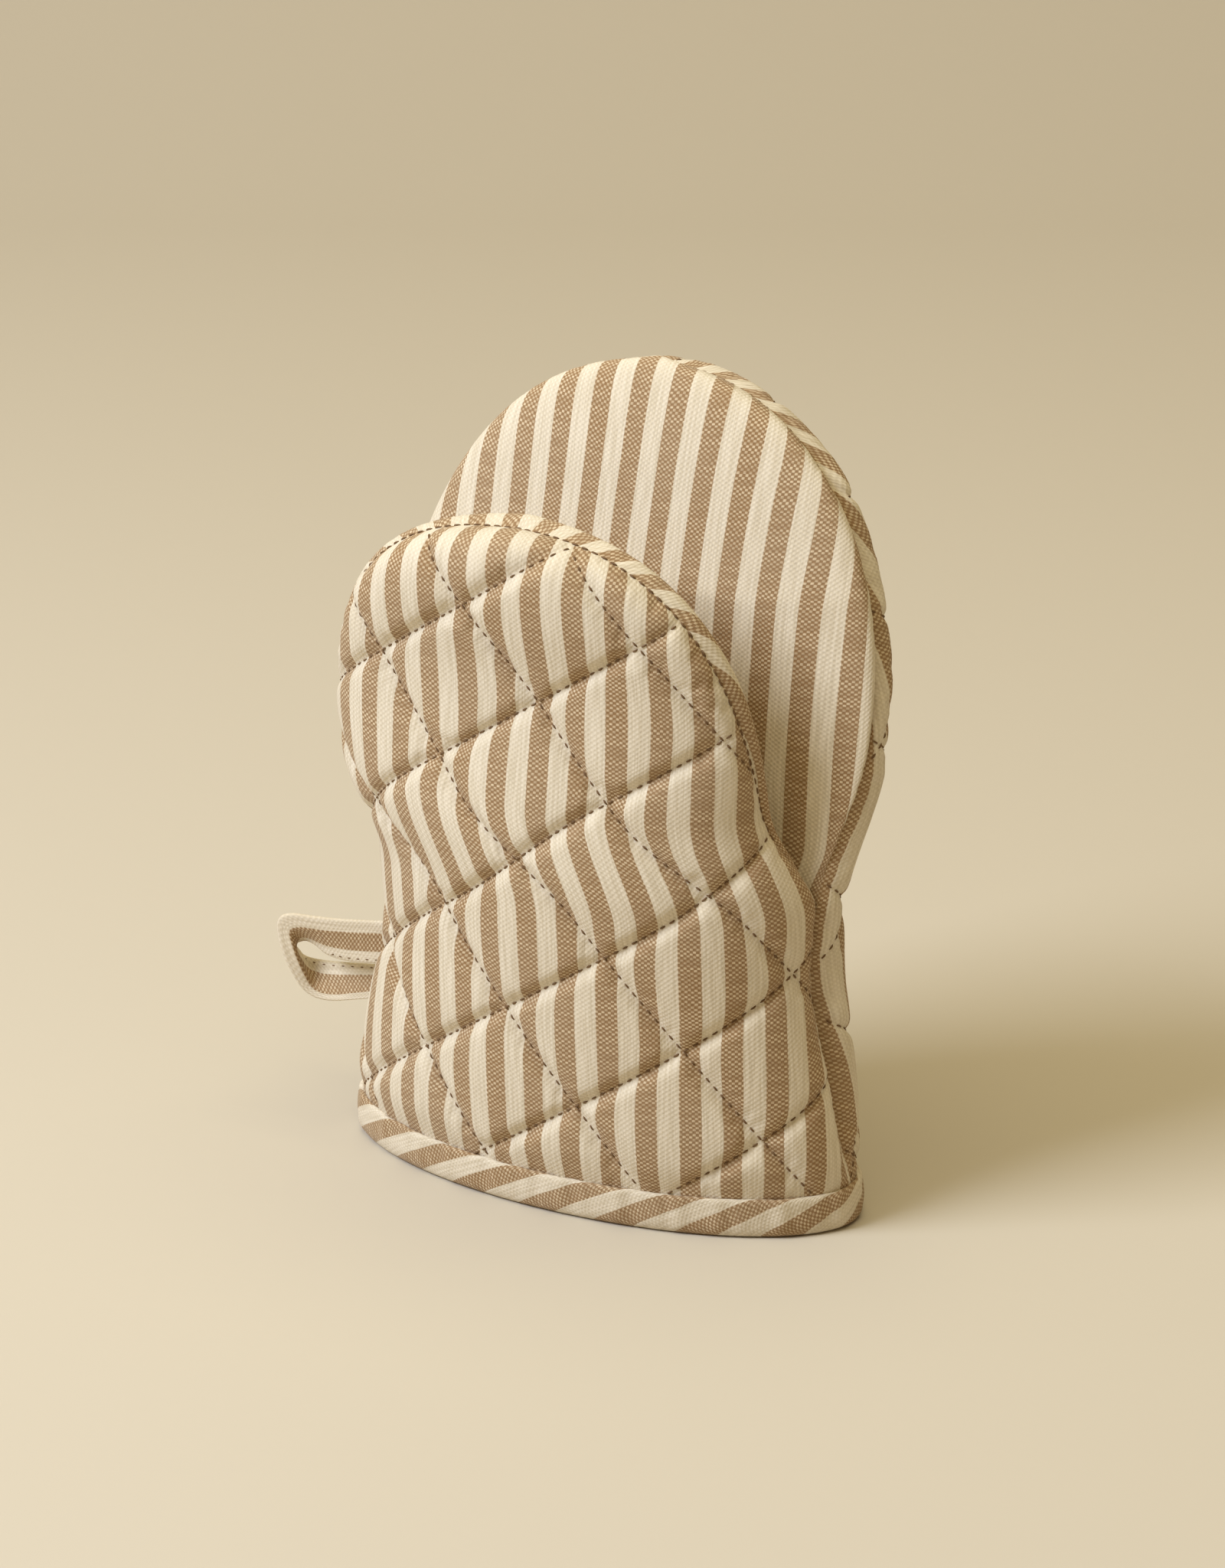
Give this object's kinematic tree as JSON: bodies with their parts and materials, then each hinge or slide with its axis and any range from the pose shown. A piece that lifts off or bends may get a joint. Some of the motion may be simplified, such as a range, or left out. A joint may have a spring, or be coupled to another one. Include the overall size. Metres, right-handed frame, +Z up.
{
  "type": "two-pocket quilted oven mitt",
  "caption": "Short quilted cloth oven mitt with a thumb pocket, a finger pocket, a bound open cuff and a side hanging loop.",
  "frame": {"origin": "centre of the hand opening, on the surface that the hem stands on", "axes": "+Z up from the hem to the finger pocket's tip, +X along the crotch fold away from the hanging loop, -Y towards the thumb pocket"},
  "size_m": [0.153, 0.0752, 0.1841],
  "materials": {
    "outer_cloth": "striped plain-weave cotton, cream and brown",
    "binding_cloth": "the striped cotton cut on the bias",
    "tape_cloth": "the striped cotton folded into a tape",
    "lining_cloth": "plain cream cotton",
    "wadding": "matt polyester wadding"
  },
  "bodies": {
    "cuff": {"front_cuff_cover": "outer_cloth", "front_cuff_wadding": "wadding", "front_cuff_lining": "lining_cloth", "front_flex_cover": "outer_cloth", "front_flex_wadding": "wadding", "front_flex_lining": "lining_cloth", "back_cuff_cover": "outer_cloth", "back_cuff_wadding": "wadding", "back_cuff_lining": "lining_cloth", "back_flex_cover": "outer_cloth", "back_flex_wadding": "wadding", "back_flex_lining": "lining_cloth", "palm_fold_cover": "outer_cloth", "palm_fold_wadding": "wadding", "palm_fold_lining": "lining_cloth", "cuff_binding": "binding_cloth"},
    "thumb_pocket": {"thumb_outer_cover": "outer_cloth", "thumb_outer_wadding": "wadding", "thumb_outer_lining": "lining_cloth", "thumb_palm_cover": "outer_cloth", "thumb_palm_wadding": "wadding", "thumb_palm_lining": "lining_cloth"},
    "finger_pocket": {"finger_outer_cover": "outer_cloth", "finger_outer_wadding": "wadding", "finger_outer_lining": "lining_cloth", "finger_palm_cover": "outer_cloth", "finger_palm_wadding": "wadding", "finger_palm_lining": "lining_cloth"},
    "loop": {"hanging_loop": "tape_cloth"}
  },
  "joints": [
    {"name": "thumb_pinch", "type": "hinge", "parent": "cuff", "child": "thumb_pocket", "pos_m": [0, 0, 0.072], "axis": [1, 0, 0], "range_deg": [-4, 30], "deforming": ["front_flex_cover", "front_flex_wadding", "front_flex_lining", "palm_fold_cover", "palm_fold_wadding", "palm_fold_lining"]},
    {"name": "finger_pinch", "type": "hinge", "parent": "cuff", "child": "finger_pocket", "pos_m": [0, 0, 0.072], "axis": [-1, 0, 0], "range_deg": [-4, 20], "deforming": ["back_flex_cover", "back_flex_wadding", "back_flex_lining"]},
    {"name": "loop_swing", "type": "hinge", "parent": "cuff", "child": "loop", "pos_m": [-0.05915, 0, 0.0375], "axis": [0.2472, 0, 0.969], "range_deg": [-60, 60]}
  ]
}
